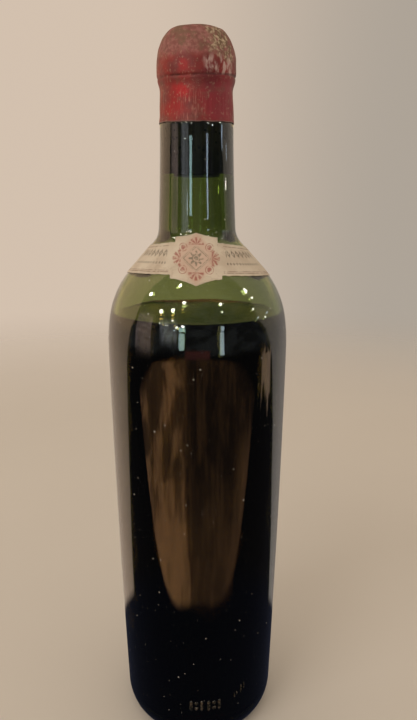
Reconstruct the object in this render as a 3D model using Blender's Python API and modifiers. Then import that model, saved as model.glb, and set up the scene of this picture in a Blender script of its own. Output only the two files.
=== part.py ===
"""A full wine bottle: green glass, wine, cork, foil capsule and a paper neck label.

Metres, +Z up. The origin is the centre of the base, and the label's badge faces -Y.
Every round piece is a profile of (radius, height) points turned about Z. All of them
have the same number of sides, so the gaps between them stay even.
"""

import math

import bmesh
import bpy

# Whole bottle
SIDES = 48
STEP_ANGLE = math.tau / SIDES
TOTAL_HEIGHT = 0.3050
FIT_GAP = 0.0003
AXIS_MERGE = 0.00001

# Body, which tapers a little from the shoulder down to the heel
WIDEST_RADIUS = 0.0388
WIDEST_Z = 0.1802
FOOT_RADIUS = 0.0352
HEEL_WIDTH = 0.0078
HEEL_HEIGHT = 0.0122
BODY_WALL = 0.0030
FLANK_POWER = 1.5
HEEL_STEPS = 5
FLANK_STEPS = 6

# Base, with a shallow punt pushed up in the middle of the ring that the bottle stands on
BEARING_WIDTH = 0.0024
BASE_THICKNESS = 0.0050
PUNT_HEIGHT = 0.0030
PUNT_STEPS = 6

# Shoulder: an easy arc, a rounder arc, a straight cone and a hollow fillet into the neck
EASY_RADIUS = 0.0857
EASY_TURN = math.radians(8.1)
ROUND_RADIUS = 0.0400
CONE_SLOPE = math.radians(48.3)
FILLET_RADIUS = 0.0092
EASY_STEPS = 2
ROUND_STEPS = 6
FILLET_STEPS = 4

# Neck
NECK_FOOT_RADIUS = 0.0161
NECK_TOP_RADIUS = 0.0149
NECK_LEAN = math.radians(1.9)
NECK_POWER = 1.6
NECK_STEPS = 3
BORE_FOOT_RADIUS = 0.0105
BORE_RADIUS = 0.0095

# Capsule, a foil cap pressed over the lip of the glass
CAPSULE_EDGE_Z = 0.2707
FOIL = 0.0005
SKIRT_RADIUS = 0.0149
WAIST_RADIUS = 0.0146
WAIST_Z = 0.2821
CREASE_RADIUS = 0.0151
CREASE_Z = 0.2872
LIP_RADIUS = 0.0157
LIP_LOW_Z = 0.2902
LIP_HIGH_Z = 0.2931
CROWN_FLAT_RADIUS = 0.0096
CROWN_STEPS = 5

# Contents
WINE_LEVEL_Z = 0.1943
CORK_LENGTH = 0.0545
CORK_CHAMFER = 0.0008

# Neck label: a strip on the cone with a stepped and pointed badge at the front. Its heights
# are counted from its middle line, which dips towards the back and a little to the right
PAPER = 0.0004
LABEL_Z = 0.2172
LABEL_DIP = math.radians(4.5)
LABEL_ROLL = math.radians(1.2)
STRIP_HALF_HEIGHT = 0.00635
STRIP_STEPS = 34
BADGE_LOW_HALF_WIDTH = 0.0103
BADGE_HIGH_HALF_WIDTH = 0.0085
BADGE_LOW_STEP = -0.0077
BADGE_HIGH_STEP = 0.0084
BADGE_LOW_POINT = -0.0103
BADGE_HIGH_POINT = 0.0100
POINT_POWER = 1.7
POINT_STEPS = 5
BADGE_CUT_DEPTH = 0.0450
SHEET_SPARE = 0.0050

# Colours, as red, green and blue
GLASS_COLOUR = (0.10, 0.14, 0.03)
WINE_COLOUR = (0.05, 0.008, 0.008)
CORK_COLOUR = (0.42, 0.27, 0.15)
FOIL_COLOUR = (0.20, 0.035, 0.035)
PAPER_COLOUR = (0.55, 0.43, 0.30)

COLLECTION_NAME = "wine_bottle"
CUTTERS_NAME = "cutters"


def clear_scene():
    """Remove every object that is in the file at the start."""
    for existing in list(bpy.data.objects):
        bpy.data.objects.remove(existing, do_unlink=True)


def new_collection(name):
    """Make a collection in the scene."""
    collection = bpy.data.collections.new(name)
    bpy.context.scene.collection.children.link(collection)
    return collection


def arc(start, heading, radius, turn, steps):
    """Points of an arc from start, first going along heading; a positive turn is to the left."""
    side = math.copysign(1.0, turn)
    centre = (
        start[0] - side * radius * math.sin(heading),
        start[1] + side * radius * math.cos(heading),
    )
    points = []
    for step in range(1, steps + 1):
        angle = heading + turn * step / steps
        points.append(
            (
                centre[0] + side * radius * math.sin(angle),
                centre[1] - side * radius * math.cos(angle),
            )
        )
    return points


def quarter_round(centre, width, height, first, last, steps):
    """Points on an ellipse about centre, between two angles from its outward side."""
    points = []
    for step in range(steps + 1):
        angle = first + (last - first) * step / steps
        points.append(
            (centre[0] + width * math.cos(angle), centre[1] + height * math.sin(angle))
        )
    return points


def eased(start, end, low_z, high_z, power, steps):
    """Points from start radius to end radius that change fast at first and settle at the top."""
    points = []
    for step in range(1, steps + 1):
        part = step / steps
        radius = end + (start - end) * (1.0 - part) ** power
        points.append((radius, low_z + (high_z - low_z) * part))
    return points


def bell(radius, low_z, height, steps):
    """Points of the punt, from its rim in to its tip on the axis."""
    points = []
    for step in range(steps + 1):
        out = 1.0 - step / steps
        points.append(
            (radius * out, low_z + height * 0.5 * (1.0 + math.cos(math.pi * out)))
        )
    return points


def offset(points, distance):
    """The same line moved inwards by distance, square to itself; the line runs upwards."""
    moved = []
    last = len(points) - 1
    for index, (radius, height) in enumerate(points):
        before = points[max(index - 1, 0)]
        after = points[min(index + 1, last)]
        along = (after[0] - before[0], after[1] - before[1])
        length = math.hypot(*along)
        moved.append(
            (
                radius - distance * along[1] / length,
                height + distance * along[0] / length,
            )
        )
    return moved


def body_line(inset, heel_width, heel_z, heel_height):
    """The heel and the flank up to the widest place, inset from the outside of the glass."""
    foot = FOOT_RADIUS - inset
    heel = quarter_round(
        (foot - heel_width, heel_z + heel_height),
        heel_width,
        heel_height,
        -math.pi / 2,
        0.0,
        HEEL_STEPS,
    )
    flank = eased(
        foot, WIDEST_RADIUS - inset, heel[-1][1], WIDEST_Z, FLANK_POWER, FLANK_STEPS
    )
    return heel + flank


def shoulder_line(inset, neck_radius):
    """The arcs, cone and fillet from the widest place to the foot of the neck."""
    widest = (WIDEST_RADIUS - inset, WIDEST_Z)
    line = arc(widest, math.pi / 2, EASY_RADIUS - inset, EASY_TURN, EASY_STEPS)
    cone_heading = math.pi - CONE_SLOPE
    line += arc(
        line[-1],
        math.pi / 2 + EASY_TURN,
        ROUND_RADIUS - inset,
        cone_heading - math.pi / 2 - EASY_TURN,
        ROUND_STEPS,
    )
    fillet_radius = FILLET_RADIUS + inset
    neck_heading = math.pi / 2 + NECK_LEAN
    fillet_width = fillet_radius * (math.sin(neck_heading) - math.sin(cone_heading))
    cone_end = neck_radius + fillet_width
    run = line[-1][0] - cone_end
    line.append((cone_end, line[-1][1] + run * math.tan(CONE_SLOPE)))
    turn = neck_heading - cone_heading
    line += arc(line[-1], cone_heading, fillet_radius, turn, FILLET_STEPS)
    return line


def capsule_line():
    """The outside of the capsule, from the edge of its skirt up to the centre of its top."""
    lip = [
        (SKIRT_RADIUS, CAPSULE_EDGE_Z),
        (WAIST_RADIUS, WAIST_Z),
        (CREASE_RADIUS, CREASE_Z),
        (LIP_RADIUS, LIP_LOW_Z),
    ]
    crown = quarter_round(
        (CROWN_FLAT_RADIUS, LIP_HIGH_Z),
        LIP_RADIUS - CROWN_FLAT_RADIUS,
        TOTAL_HEIGHT - LIP_HIGH_Z,
        0.0,
        math.pi / 2,
        CROWN_STEPS,
    )
    return lip + crown + [(0.0, TOTAL_HEIGHT)]


def finish_line():
    """The mouth of the glass under the capsule, from a small ledge up to the rim of the bore."""
    under = offset(capsule_line(), FOIL + FIT_GAP)
    rim_z = TOTAL_HEIGHT - FOIL - FIT_GAP
    line = [(under[0][0], CAPSULE_EDGE_Z - FIT_GAP)]
    line += [point for point in under[1:-2] if point[0] > BORE_RADIUS + FOIL]
    line.append((BORE_RADIUS, rim_z))
    return line


def outer_line():
    """The outside of the glass, from the centre of the base out and up to the rim."""
    body = body_line(0.0, HEEL_WIDTH, 0.0, HEEL_HEIGHT)
    punt_radius = body[0][0] - BEARING_WIDTH
    line = list(reversed(bell(punt_radius, 0.0, PUNT_HEIGHT, PUNT_STEPS)))
    line += body
    line += shoulder_line(0.0, NECK_FOOT_RADIUS)
    ledge_z = CAPSULE_EDGE_Z - FIT_GAP
    foot_z = line[-1][1]
    line += eased(NECK_FOOT_RADIUS, NECK_TOP_RADIUS, foot_z, ledge_z, NECK_POWER, NECK_STEPS)
    return line + finish_line()


def inner_line():
    """The inside of the glass, from the tip of the punt down, out and up to the rim."""
    heel_width = HEEL_WIDTH + BODY_WALL
    heel_height = HEEL_HEIGHT - BODY_WALL
    body = body_line(BODY_WALL, heel_width, BASE_THICKNESS, heel_height)
    line = list(reversed(bell(body[0][0], BASE_THICKNESS, PUNT_HEIGHT, PUNT_STEPS)))
    line += body[1:]
    line += shoulder_line(BODY_WALL, BORE_FOOT_RADIUS)
    line.append((BORE_RADIUS, TOTAL_HEIGHT - CORK_LENGTH - FIT_GAP))
    return line


def cut_at(points, height):
    """The line up to where it first rises through height, ended by a point there."""
    kept = [points[0]]
    for before, after in zip(points, points[1:]):
        if before[1] < height <= after[1]:
            part = (height - before[1]) / (after[1] - before[1])
            kept.append((before[0] + part * (after[0] - before[0]), height))
            break
        kept.append(after)
    return kept


def profile_object(name, points, collection, closed=False):
    """An object whose mesh is one line of points at +X, ready to be turned about Z."""
    outline = bmesh.new()
    corners = [outline.verts.new((radius, 0.0, height)) for radius, height in points]
    for before, after in zip(corners, corners[1:]):
        outline.edges.new((before, after))
    if closed:
        outline.edges.new((corners[-1], corners[0]))
    mesh = bpy.data.meshes.new(name)
    outline.to_mesh(mesh)
    outline.free()
    profile = bpy.data.objects.new(name, mesh)
    collection.objects.link(profile)
    return profile


def turned(name, points, collection, steps=SIDES, closed=False):
    """Turn a line of points about Z through a number of steps of the common side angle."""
    piece = profile_object(name, points, collection, closed)
    screw = piece.modifiers.new("Turn", "SCREW")
    screw.axis = "Z"
    screw.angle = steps * STEP_ANGLE
    screw.steps = steps
    screw.render_steps = steps
    screw.use_merge_vertices = True
    screw.merge_threshold = AXIS_MERGE
    screw.use_smooth_shade = True
    return piece


def material(name, colour, roughness, metallic=0.0, transmission=0.0):
    """A plain surface with one colour, roughness and metallic value."""
    surface = bpy.data.materials.new(name)
    surface.use_nodes = True
    shader = surface.node_tree.nodes["Principled BSDF"]
    shader.inputs["Base Color"].default_value = (*colour, 1.0)
    shader.inputs["Roughness"].default_value = roughness
    shader.inputs["Metallic"].default_value = metallic
    shader.inputs["Transmission Weight"].default_value = transmission
    surface.diffuse_color = (*colour, 1.0)
    return surface


def make_glass(collection):
    """The glass, one wall from the punt inside, over the rim and down the outside."""
    line = inner_line() + list(reversed(outer_line()))
    glass = turned("glass_bottle", line, collection)
    glass.data.materials.append(
        material("green_glass", GLASS_COLOUR, 0.05, transmission=0.9)
    )
    return glass


def make_wine(collection):
    """The wine, which stands a fit gap off the glass and ends flat at its level."""
    side = cut_at(offset(inner_line(), FIT_GAP), WINE_LEVEL_Z)
    side[0] = (0.0, BASE_THICKNESS + PUNT_HEIGHT + FIT_GAP)
    line = [(0.0, WINE_LEVEL_Z)] + list(reversed(side))
    wine = turned("wine", line, collection)
    wine.data.materials.append(material("red_wine", WINE_COLOUR, 0.05))
    return wine


def make_cork(collection):
    """The cork, a straight plug in the bore with its ends chamfered."""
    top_z = TOTAL_HEIGHT - FOIL - FIT_GAP
    length = CORK_LENGTH - FOIL - FIT_GAP
    bpy.ops.mesh.primitive_cylinder_add(
        vertices=SIDES,
        radius=BORE_RADIUS - FIT_GAP,
        depth=length,
        location=(0.0, 0.0, top_z - length / 2),
    )
    cork = bpy.context.object
    cork.name = "cork"
    cork.data.name = "cork"
    for holder in list(cork.users_collection):
        holder.objects.unlink(cork)
    collection.objects.link(cork)
    chamfer = cork.modifiers.new("Chamfer", "BEVEL")
    chamfer.width = CORK_CHAMFER
    chamfer.segments = 1
    chamfer.limit_method = "ANGLE"
    chamfer.angle_limit = math.radians(60.0)
    cork.data.shade_smooth()
    cork.data.set_sharp_from_angle(angle=math.radians(40.0))
    cork.data.materials.append(material("cork", CORK_COLOUR, 0.85))
    return cork


def make_capsule(collection):
    """The capsule, a turned sheet thickened inwards by the foil."""
    capsule = turned("capsule", list(reversed(capsule_line())), collection)
    foil = capsule.modifiers.new("Foil", "SOLIDIFY")
    foil.thickness = FOIL
    foil.offset = -1.0
    foil.use_even_offset = True
    capsule.data.materials.append(material("red_foil", FOIL_COLOUR, 0.5, metallic=0.2))
    return capsule


def drawn_out(half_width, step_z, point_z):
    """Points from a badge's step, where it is half_width wide, in towards its point."""
    points = []
    for step in range(POINT_STEPS):
        part = step / POINT_STEPS
        rise = (point_z - step_z) * part**POINT_POWER
        points.append((half_width * (1.0 - part), step_z + rise))
    return points


def badge_outline():
    """The badge seen from the front, as (x, z) corners: two steps and two drawn-out points."""
    low = drawn_out(BADGE_LOW_HALF_WIDTH, BADGE_LOW_STEP, BADGE_LOW_POINT)
    high = drawn_out(BADGE_HIGH_HALF_WIDTH, BADGE_HIGH_STEP, BADGE_HIGH_POINT)
    right = list(reversed(low))
    right += [(BADGE_LOW_HALF_WIDTH, 0.0), (BADGE_HIGH_HALF_WIDTH, 0.0)]
    right += high
    left = [(-x, z) for x, z in reversed(right)]
    return [(0.0, BADGE_LOW_POINT)] + right + [(0.0, BADGE_HIGH_POINT)] + left


def prism(name, outline, depth, collection):
    """A closed block with an outline in the XZ plane, reaching from y = 0 to y = -depth."""
    drawing = bpy.data.curves.new(name, "CURVE")
    drawing.dimensions = "2D"
    drawing.fill_mode = "BOTH"
    drawing.extrude = depth / 2
    spline = drawing.splines.new("POLY")
    spline.points.add(len(outline) - 1)
    for point, (x, z) in zip(spline.points, outline):
        point.co = (x, z, 0.0, 1.0)
    spline.use_cyclic_u = True
    drawn = bpy.data.objects.new(name + "_drawing", drawing)
    drawn.rotation_euler = (math.pi / 2, 0.0, 0.0)
    drawn.location = (0.0, -depth / 2, 0.0)
    collection.objects.link(drawn)
    bpy.context.view_layer.update()
    evaluated = drawn.evaluated_get(bpy.context.evaluated_depsgraph_get())
    mesh = bpy.data.meshes.new_from_object(evaluated)
    mesh.name = name
    block = bpy.data.objects.new(name, mesh)
    block.matrix_world = drawn.matrix_world
    collection.objects.link(block)
    bpy.data.objects.remove(drawn, do_unlink=True)
    whole = bmesh.new()
    whole.from_mesh(mesh)
    bmesh.ops.remove_doubles(whole, verts=whole.verts, dist=AXIS_MERGE)
    bmesh.ops.recalc_face_normals(whole, faces=whole.faces)
    whole.to_mesh(mesh)
    whole.free()
    return block


def as_cutter(piece):
    """Keep a helper out of the finished object and show it as lines."""
    piece.hide_render = True
    piece.display_type = "WIRE"
    return piece


def boolean(piece, other, operation):
    """Cut or join a piece with another object."""
    modifier = piece.modifiers.new(operation.title(), "BOOLEAN")
    modifier.operation = operation
    modifier.solver = "EXACT"
    modifier.object = other
    return modifier


def make_label(collection, cutters):
    """The neck label: a paper sheet on the cone, trimmed to a strip with a badge at the front."""
    on_glass = offset(shoulder_line(0.0, NECK_FOOT_RADIUS), -FIT_GAP)
    lowest = LABEL_Z + BADGE_LOW_POINT - SHEET_SPARE
    sheet = [point for point in on_glass if point[1] > lowest]
    sheet.append((sheet[-1][0], sheet[-1][1] + SHEET_SPARE))
    label = turned("neck_label", list(reversed(sheet)), collection, STRIP_STEPS)
    label.rotation_euler.z = -math.pi / 2 - STRIP_STEPS * STEP_ANGLE / 2
    paper = label.modifiers.new("Paper", "SOLIDIFY")
    paper.thickness = PAPER
    paper.offset = 1.0
    paper.use_even_offset = True
    wide = WIDEST_RADIUS + SHEET_SPARE
    narrow = SHEET_SPARE
    band = [
        (narrow, STRIP_HALF_HEIGHT),
        (wide, STRIP_HALF_HEIGHT),
        (wide, -STRIP_HALF_HEIGHT),
        (narrow, -STRIP_HALF_HEIGHT),
    ]
    trim = as_cutter(turned("label_trim", band, cutters, closed=True))
    trim.location.z = LABEL_Z
    trim.rotation_euler = (-LABEL_DIP, LABEL_ROLL, 0.0)
    badge = as_cutter(prism("badge_block", badge_outline(), BADGE_CUT_DEPTH, cutters))
    badge.parent = trim
    boolean(trim, badge, "UNION")
    boolean(label, trim, "INTERSECT")
    label.data.materials.append(material("label_paper", PAPER_COLOUR, 0.8))
    return label


def build():
    """Make every piece of the bottle."""
    clear_scene()
    pieces = new_collection(COLLECTION_NAME)
    cutters = new_collection(CUTTERS_NAME)
    make_glass(pieces)
    make_wine(pieces)
    make_cork(pieces)
    make_capsule(pieces)
    make_label(pieces, cutters)


build()
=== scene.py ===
"""A full wine bottle with a worn foil capsule and a paper label round its neck, in a pale studio."""

import math

import bmesh
import bpy
import numpy as np
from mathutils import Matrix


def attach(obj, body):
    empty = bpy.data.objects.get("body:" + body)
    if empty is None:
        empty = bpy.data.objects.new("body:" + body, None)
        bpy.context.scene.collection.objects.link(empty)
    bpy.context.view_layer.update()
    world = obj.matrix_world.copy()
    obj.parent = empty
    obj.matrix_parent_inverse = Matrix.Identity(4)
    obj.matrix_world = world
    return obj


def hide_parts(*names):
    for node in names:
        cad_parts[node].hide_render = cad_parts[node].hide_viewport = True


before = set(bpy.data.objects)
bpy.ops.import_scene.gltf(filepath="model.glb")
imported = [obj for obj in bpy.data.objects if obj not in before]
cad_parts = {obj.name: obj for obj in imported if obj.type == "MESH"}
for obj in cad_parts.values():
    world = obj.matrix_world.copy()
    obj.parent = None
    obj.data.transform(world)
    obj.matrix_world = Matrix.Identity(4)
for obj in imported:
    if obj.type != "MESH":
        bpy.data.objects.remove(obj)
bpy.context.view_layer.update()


# The bottle is one wall of olive green glass, blown in a mould and fire-polished. Its body
# tapers down to the heel, and a round shoulder runs up a cone into the neck. Glass of this age
# is a little wavy, with a faint mould seam down each side and dust that has settled on it.
GLASS_TURNS = 144
WIDEST_RADIUS = 0.0388
WIDEST_Z = 0.1802
FOOT_RADIUS = 0.0352
HEEL_WIDTH = 0.0078
HEEL_HEIGHT = 0.0122
FLANK_POWER = 1.5
BODY_WALL = 0.0030
BASE_THICKNESS = 0.0050
BEARING_WIDTH = 0.0024
PUNT_HEIGHT = 0.0030
EASY_RADIUS = 0.0857
EASY_TURN = math.radians(8.1)
ROUND_RADIUS = 0.0400
CONE_SLOPE = math.radians(48.3)
FILLET_RADIUS = 0.0092
NECK_FOOT_RADIUS = 0.0161
NECK_TOP_RADIUS = 0.0149
NECK_LEAN = math.radians(1.9)
NECK_POWER = 1.6
BORE_FOOT_RADIUS = 0.0105
BORE_RADIUS = 0.0097
BORE_TOP_Z = 0.2500
MOUTH_Z = 0.2715
FINISH_RADIUS = 0.0140
RIM_RADIUS = 0.0132
RIM_LOW_Z = 0.2990
RIM_Z = 0.3034
RIM_FLAT = 0.0004
WAVE_DEPTH = 0.00012
OUTSIDE_WAVE_DEPTH = 0.00003
WAVE_PEAK = 1.6
WAVE_SEED = 4
EVEN_RADIUS = 0.02
SEAM_HALF_WIDTH = 0.0004
GLASS_IOR = 1.50
GLASS_ABSORBS = np.array([240.0, 206.0, 365.0])
WELD = 1e-7


def arc(start, heading, radius, turn, steps):
    """Points on a circle: start plus radius * side * (sin a - sin a0, cos a0 - cos a), where
    the heading a goes evenly from a0 to a0 + turn and side is the sign of the turn."""
    side = math.copysign(radius, turn)
    angle = heading + turn * np.arange(1, steps + 1) / steps
    across = start[0] + side * (np.sin(angle) - math.sin(heading))
    up = start[1] + side * (math.cos(heading) - np.cos(angle))
    return np.column_stack([across, up])


def eased(start, end, low, high, power, steps):
    """Radius end + (start - end) * (1 - t) ** power at height low + (high - low) * t, t in 0..1."""
    t = np.arange(1, steps + 1) / steps
    radius = end + (start - end) * (1.0 - t) ** power
    return np.column_stack([radius, low + (high - low) * t])


def base_line(foot, low, rise, punt_radius, heel_width, heel_height):
    """From the axis out: a raised cosine bump of the punt, then a quarter ellipse of the heel."""
    t = np.linspace(0.0, 1.0, 15)
    punt = np.column_stack([punt_radius * t, low + rise * 0.5 * (1.0 + np.cos(math.pi * t))])
    turn = np.linspace(0.0, math.pi / 2, 13)
    heel_radius = foot - heel_width + heel_width * np.sin(turn)
    heel = np.column_stack([heel_radius, low + heel_height * (1.0 - np.cos(turn))])
    return np.vstack([punt, heel])


def side_line(inset, heel_top, neck_radius):
    """Flank, easy arc, round arc, straight cone and hollow fillet, all inset from the outside."""
    flank = eased(FOOT_RADIUS - inset, WIDEST_RADIUS - inset, heel_top, WIDEST_Z, FLANK_POWER, 40)
    easy = arc(flank[-1], math.pi / 2, EASY_RADIUS - inset, EASY_TURN, 8)
    cone_heading = math.pi - CONE_SLOPE
    heading = math.pi / 2 + EASY_TURN
    bend = arc(easy[-1], heading, ROUND_RADIUS - inset, cone_heading - heading, 28)
    fillet_radius = FILLET_RADIUS + inset
    neck_heading = math.pi / 2 + NECK_LEAN
    spread = fillet_radius * (math.sin(neck_heading) - math.sin(cone_heading))
    run = np.linspace(bend[-1][0], neck_radius + spread, 9)[1:]
    cone = np.column_stack([run, bend[-1][1] + (bend[-1][0] - run) * math.tan(CONE_SLOPE)])
    fillet = arc(cone[-1], cone_heading, fillet_radius, neck_heading - cone_heading, 16)
    return np.vstack([flank, easy, bend, cone, fillet])


def outer_line():
    """The outside, from the middle of the base out, up the side and neck and over the rim."""
    punt_radius = FOOT_RADIUS - HEEL_WIDTH - BEARING_WIDTH
    base = base_line(FOOT_RADIUS, 0.0, PUNT_HEIGHT, punt_radius, HEEL_WIDTH, HEEL_HEIGHT)
    side = side_line(0.0, HEEL_HEIGHT, NECK_FOOT_RADIUS)
    neck = eased(side[-1][0], NECK_TOP_RADIUS, side[-1][1], MOUTH_Z, NECK_POWER, 18)
    finish_radius = np.linspace(FINISH_RADIUS, RIM_RADIUS, 10)
    finish = np.column_stack([finish_radius, np.linspace(MOUTH_Z, RIM_LOW_Z, 10)])
    turn = np.linspace(0.0, math.pi / 2, 9)[1:]
    lip_radius = RIM_RADIUS - (RIM_RADIUS - BORE_RADIUS - RIM_FLAT) * (1.0 - np.cos(turn))
    lip = np.column_stack([lip_radius, RIM_LOW_Z + (RIM_Z - RIM_LOW_Z) * np.sin(turn)])
    return np.vstack([base, side, neck, finish, lip])


def inner_line():
    """The inside, from the middle of the punt out, up the wall and up the bore to the rim."""
    heel_width = HEEL_WIDTH + BODY_WALL
    foot = FOOT_RADIUS - BODY_WALL
    top = HEEL_HEIGHT
    height = top - BASE_THICKNESS
    base = base_line(foot, BASE_THICKNESS, PUNT_HEIGHT, foot - heel_width, heel_width, height)
    side = side_line(BODY_WALL, top, BORE_FOOT_RADIUS)
    bore = eased(side[-1][0], BORE_RADIUS, side[-1][1], BORE_TOP_Z, 1.0, 10)
    straight = np.column_stack([np.full(8, BORE_RADIUS), np.linspace(BORE_TOP_Z, RIM_Z, 9)[1:]])
    return np.vstack([base, side, bore, straight])


def angles_round(turns):
    """Angles about Z, counted from the front, which is -Y, towards +X."""
    return math.tau * np.arange(turns) / turns


def ripple(angle, along, waves, lengths, seed, count=24):
    """A smooth random field in about -1..1 that closes round the bottle: the mean of count
    cosines cos(n * angle + k * along + p), with whole n in waves, k and p drawn from a seed."""
    draw = np.random.default_rng(seed)
    total = np.zeros(np.broadcast(angle, along).shape)
    for _ in range(count):
        n = draw.integers(waves[0], waves[1] + 1) * draw.choice([-1, 1])
        k = math.tau / draw.uniform(*lengths)
        total += np.cos(n * angle + k * along + draw.uniform(0.0, math.tau))
    return total / math.sqrt(2.0 * count)


def round_points(angle, radius, height):
    """The points (r sin a, -r cos a, z), as an array of rows up the piece and columns round it."""
    angle, radius, height = np.broadcast_arrays(angle, radius, height)
    return np.stack([radius * np.sin(angle), -radius * np.cos(angle), height], axis=-1)


def skin(name, points, around=True, weld=True):
    """A mesh over one grid of points, or over a stack of them: each face joins (i, j), (i, j+1),
    (i+1, j+1), (i+1, j), the last column joins the first where it goes around, and points that
    coincide become one."""
    grids = points.reshape(-1, *points.shape[-3:])
    index = np.arange(grids[..., 0].size).reshape(grids.shape[:3])
    if around:
        index = np.concatenate([index, index[..., :1]], axis=-1)
    corners = [index[:, :-1, :-1], index[:, :-1, 1:], index[:, 1:, 1:], index[:, 1:, :-1]]
    faces = np.stack(corners, axis=-1).reshape(-1, 4)
    mesh = bpy.data.meshes.new(name)
    mesh.from_pydata(points.reshape(-1, 3).tolist(), [], faces.tolist())
    if weld:
        whole = bmesh.new()
        whole.from_mesh(mesh)
        bmesh.ops.remove_doubles(whole, verts=whole.verts, dist=WELD)
        whole.to_mesh(mesh)
        whole.free()
    mesh.shade_smooth()
    piece = bpy.data.objects.new(name, mesh)
    bpy.context.scene.collection.objects.link(piece)
    return piece


def give(socket, value):
    """Set an input to a value, or link it to an output. A colour gets an alpha of 1."""
    if isinstance(value, bpy.types.NodeSocket):
        socket.id_data.links.new(value, socket)
    else:
        socket.default_value = (*value, 1.0) if socket.type == "RGBA" else value


def fill(made, **inputs):
    """Give the named inputs of a node values or links."""
    for name, value in inputs.items():
        give(made.inputs[name.replace("_", " ")], value)


def node(owner, kind, settings=None, **inputs):
    """Add a shader node to a tree, or to the tree that a node or socket is in, and fill it."""
    made = owner.id_data.nodes.new("ShaderNode" + kind)
    for name, value in (settings or {}).items():
        setattr(made, name, value)
    fill(made, **inputs)
    return made


def maths(operation, *values):
    """One Math node on up to three values or outputs, of which one at least is an output."""
    owner = next(value for value in values if isinstance(value, bpy.types.NodeSocket))
    made = node(owner, "Math", {"operation": operation})
    for socket, value in zip(made.inputs, values):
        give(socket, value)
    return made.outputs[0]


def both(*masks):
    """The product of several values or masks."""
    total = masks[0]
    for mask in masks[1:]:
        total = maths("MULTIPLY", total, mask)
    return total


def scaled(value, by, plus):
    """The value times by, plus a shift."""
    return maths("MULTIPLY_ADD", value, by, plus)


def eased_mask(value, low, high):
    """A mask that rises smoothly from 0 where value is low to 1 where it is high."""
    made = node(value, "MapRange", {"interpolation_type": "SMOOTHSTEP"}, Value=value)
    fill(made, From_Min=low, From_Max=high)
    return made.outputs[0]


def tinted(amount, under, over):
    """The colour under, with the colour over laid on it by a mask."""
    made = node(amount, "Mix", {"data_type": "RGBA"})
    give(made.inputs[0], amount)
    give(made.inputs[6], under)
    give(made.inputs[7], over)
    return made.outputs[2]


def noise(vector, scale, detail=2.0, stretch=(1.0, 1.0, 1.0), place=(0.0, 0.0, 0.0)):
    """Noise in about 0..1 whose grains are 1 / scale metres, stretched and moved on the piece."""
    mapping = node(vector, "Mapping", Vector=vector, Scale=stretch, Location=place)
    made = node(vector, "TexNoise", Vector=mapping.outputs[0], Scale=scale, Detail=detail)
    return made.outputs["Fac"]


def new_group(name, inputs, outputs):
    """A shader node group with named inputs, each with its value, and named outputs."""
    group = bpy.data.node_groups.new(name, "ShaderNodeTree")
    for socket, (kind, value) in inputs.items():
        made = group.interface.new_socket(socket, in_out="INPUT", socket_type="NodeSocket" + kind)
        if value is not None:
            made.default_value = value
    for socket in outputs:
        group.interface.new_socket(socket, in_out="OUTPUT", socket_type="NodeSocketFloat")
    return group, group.nodes.new("NodeGroupInput"), group.nodes.new("NodeGroupOutput")


def dust_group():
    """Dust that has settled: fine grains where a coarser noise lets them lie."""
    group, enter, leave = new_group(
        "settled_dust",
        {"Vector": ("Vector", None), "Grain": ("Float", 2500.0), "Amount": ("Float", 0.5)},
        ("Mask", "Height"),
    )
    vector, grain, amount = (enter.outputs[name] for name in ("Vector", "Grain", "Amount"))
    patches = noise(vector, both(grain, 0.03), 3.0)
    grains = noise(vector, grain, 1.0)
    level = maths("ADD", both(patches, 0.55), both(grains, 0.45))
    edge = maths("SUBTRACT", 0.78, both(amount, 0.3))
    lying = both(maths("SUBTRACT", level, edge), 9.0)
    mask = node(group, "Clamp", Value=lying).outputs[0]
    fill(leave, Mask=mask, Height=both(mask, grains))
    return group


def stain_group():
    """Soft stains with a darker rim, as left by damp and by years of handling."""
    group, enter, leave = new_group(
        "age_stains",
        {"Vector": ("Vector", None), "Scale": ("Float", 90.0), "Amount": ("Float", 0.5)},
        ("Mask", "Rim"),
    )
    vector, scale, amount = (enter.outputs[name] for name in ("Vector", "Scale", "Amount"))
    cloud = noise(vector, scale, 6.0)
    edge = maths("SUBTRACT", 0.72, both(amount, 0.32))
    over = maths("SUBTRACT", cloud, edge)
    mask = node(group, "Clamp", Value=both(over, 6.0)).outputs[0]
    off = maths("ABSOLUTE", maths("SUBTRACT", over, 0.02))
    rim = node(group, "Clamp", Value=maths("SUBTRACT", 1.0, both(off, 45.0)))
    fill(leave, Mask=mask, Rim=rim.outputs[0])
    return group


def placed(group, **inputs):
    """Place a node group with its own values in the material that its vector comes from."""
    return node(inputs["Vector"], "Group", {"node_tree": group}, **inputs).outputs


def surface(name):
    """A new material, its Principled shader and its Object coordinates."""
    made = bpy.data.materials.new(name)
    made.use_nodes = True
    tree = made.node_tree
    return made, tree.nodes["Principled BSDF"], node(tree, "TexCoord").outputs["Object"]


def bump(height, distance, strength=1.0, normal=None):
    """A Bump node on a height, as deep as distance in metres."""
    made = node(height, "Bump", Height=height, Distance=distance, Strength=strength)
    if normal is not None:
        fill(made, Normal=normal)
    return made.outputs[0]


def absorb(shader, per_metre):
    """Give the inside of a piece an absorption per metre for red, green and blue."""
    density = float(per_metre.max())
    colour = (1.0 - per_metre / density).tolist()
    inside = node(shader, "VolumeAbsorption", Color=colour, Density=density)
    fill(shader.id_data.nodes["Material Output"], Volume=inside.outputs[0])


settled_dust = dust_group()
age_stains = stain_group()


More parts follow.
